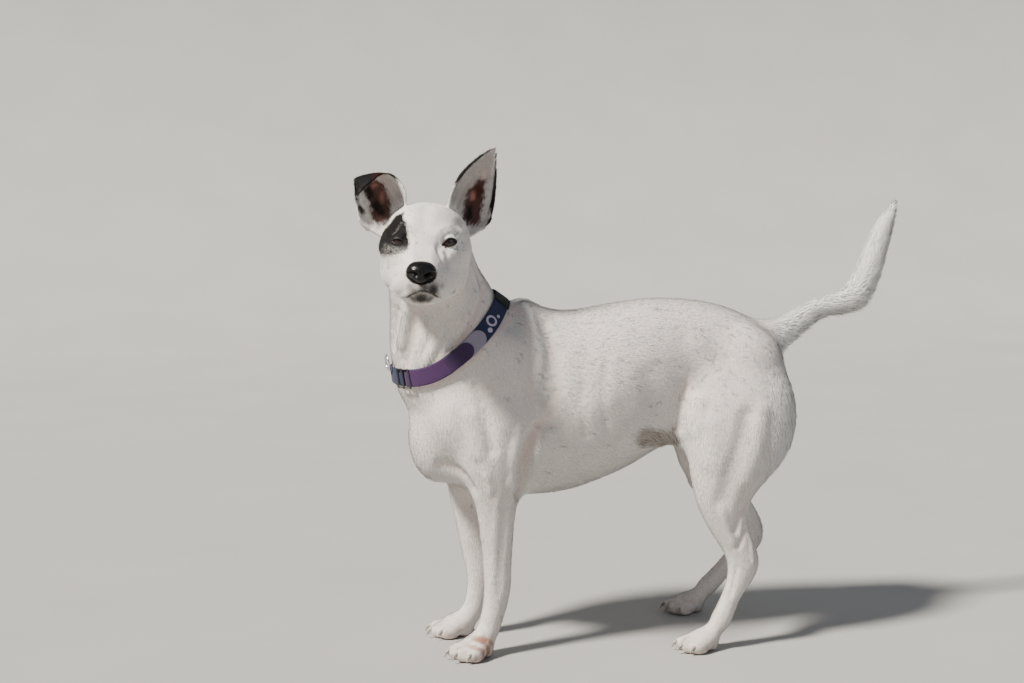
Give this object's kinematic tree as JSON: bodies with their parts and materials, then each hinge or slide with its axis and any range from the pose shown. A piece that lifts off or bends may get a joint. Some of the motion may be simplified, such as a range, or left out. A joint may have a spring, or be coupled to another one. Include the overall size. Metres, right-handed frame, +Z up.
{
  "type": "standing dog",
  "caption": "Short-coated, prick-eared dog standing square with its head turned to one side and its tail raised, wearing a webbing collar with a slide and a ring.",
  "frame": {"origin": "centre of the bounding box at floor level, under the trunk", "axes": "+X towards the tail, so that the dog faces -X; +Y to its right side, away from the picture's camera; +Z up"},
  "size_m": [0.8148, 0.3762, 0.721],
  "materials": {
    "coat": "short white fur",
    "ear": "thinly haired skin",
    "eye": "wet and glossy",
    "nose": "fine-grained, moist",
    "navy_webbing": "woven",
    "black_webbing": "woven",
    "mauve_webbing": "woven",
    "purple_webbing": "ribbed weave",
    "dark_purple_webbing": "woven",
    "slide_plastic": "moulded",
    "ring_steel": "plated wire"
  },
  "bodies": {
    "root": {"collar_band": "navy_webbing", "collar_keeper": "black_webbing", "collar_ring": "ring_steel", "collar_sleeve": "mauve_webbing", "collar_slide": "slide_plastic", "collar_strap": "purple_webbing", "collar_tab": "dark_purple_webbing", "ear_left": "ear", "ear_right": "ear", "eye_left": "eye", "eye_right": "eye", "foreleg_left": "coat", "foreleg_right": "coat", "forepaw_left": "coat", "forepaw_right": "coat", "head": "coat", "hindleg_left": "coat", "hindleg_right": "coat", "hindpaw_left": "coat", "hindpaw_right": "coat", "neck": "coat", "nose": "nose", "tail": "coat", "trunk": "coat"}
  },
  "joints": []
}
